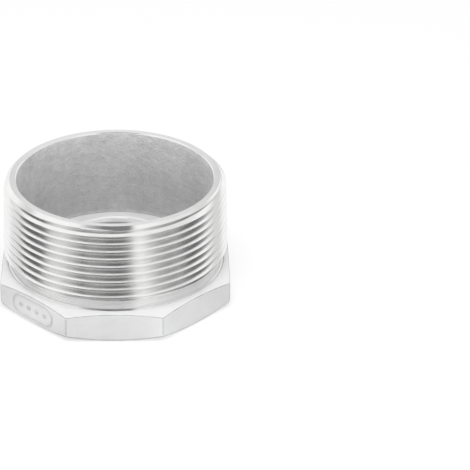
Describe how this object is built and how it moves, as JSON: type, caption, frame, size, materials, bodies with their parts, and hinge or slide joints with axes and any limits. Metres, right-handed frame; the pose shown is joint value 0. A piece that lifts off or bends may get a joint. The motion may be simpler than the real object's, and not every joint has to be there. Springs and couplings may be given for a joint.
{
  "type": "hex bushing",
  "caption": "Pipe reducing bushing: a tapered male thread and an open cup on an eight-sided wrench head with a threaded bore.",
  "frame": {"origin": "centre of the head's face, which the part stands on", "axes": "+Z along the pipe axis, from the head to the male thread's rim; one flat of the head faces -Y"},
  "size_m": [0.0616, 0.0616, 0.033],
  "materials": {
    "stainless": "cast satin head and cup, machined bright threads and rim"
  },
  "bodies": {
    "root": {"bushing": "stainless"}
  },
  "joints": []
}
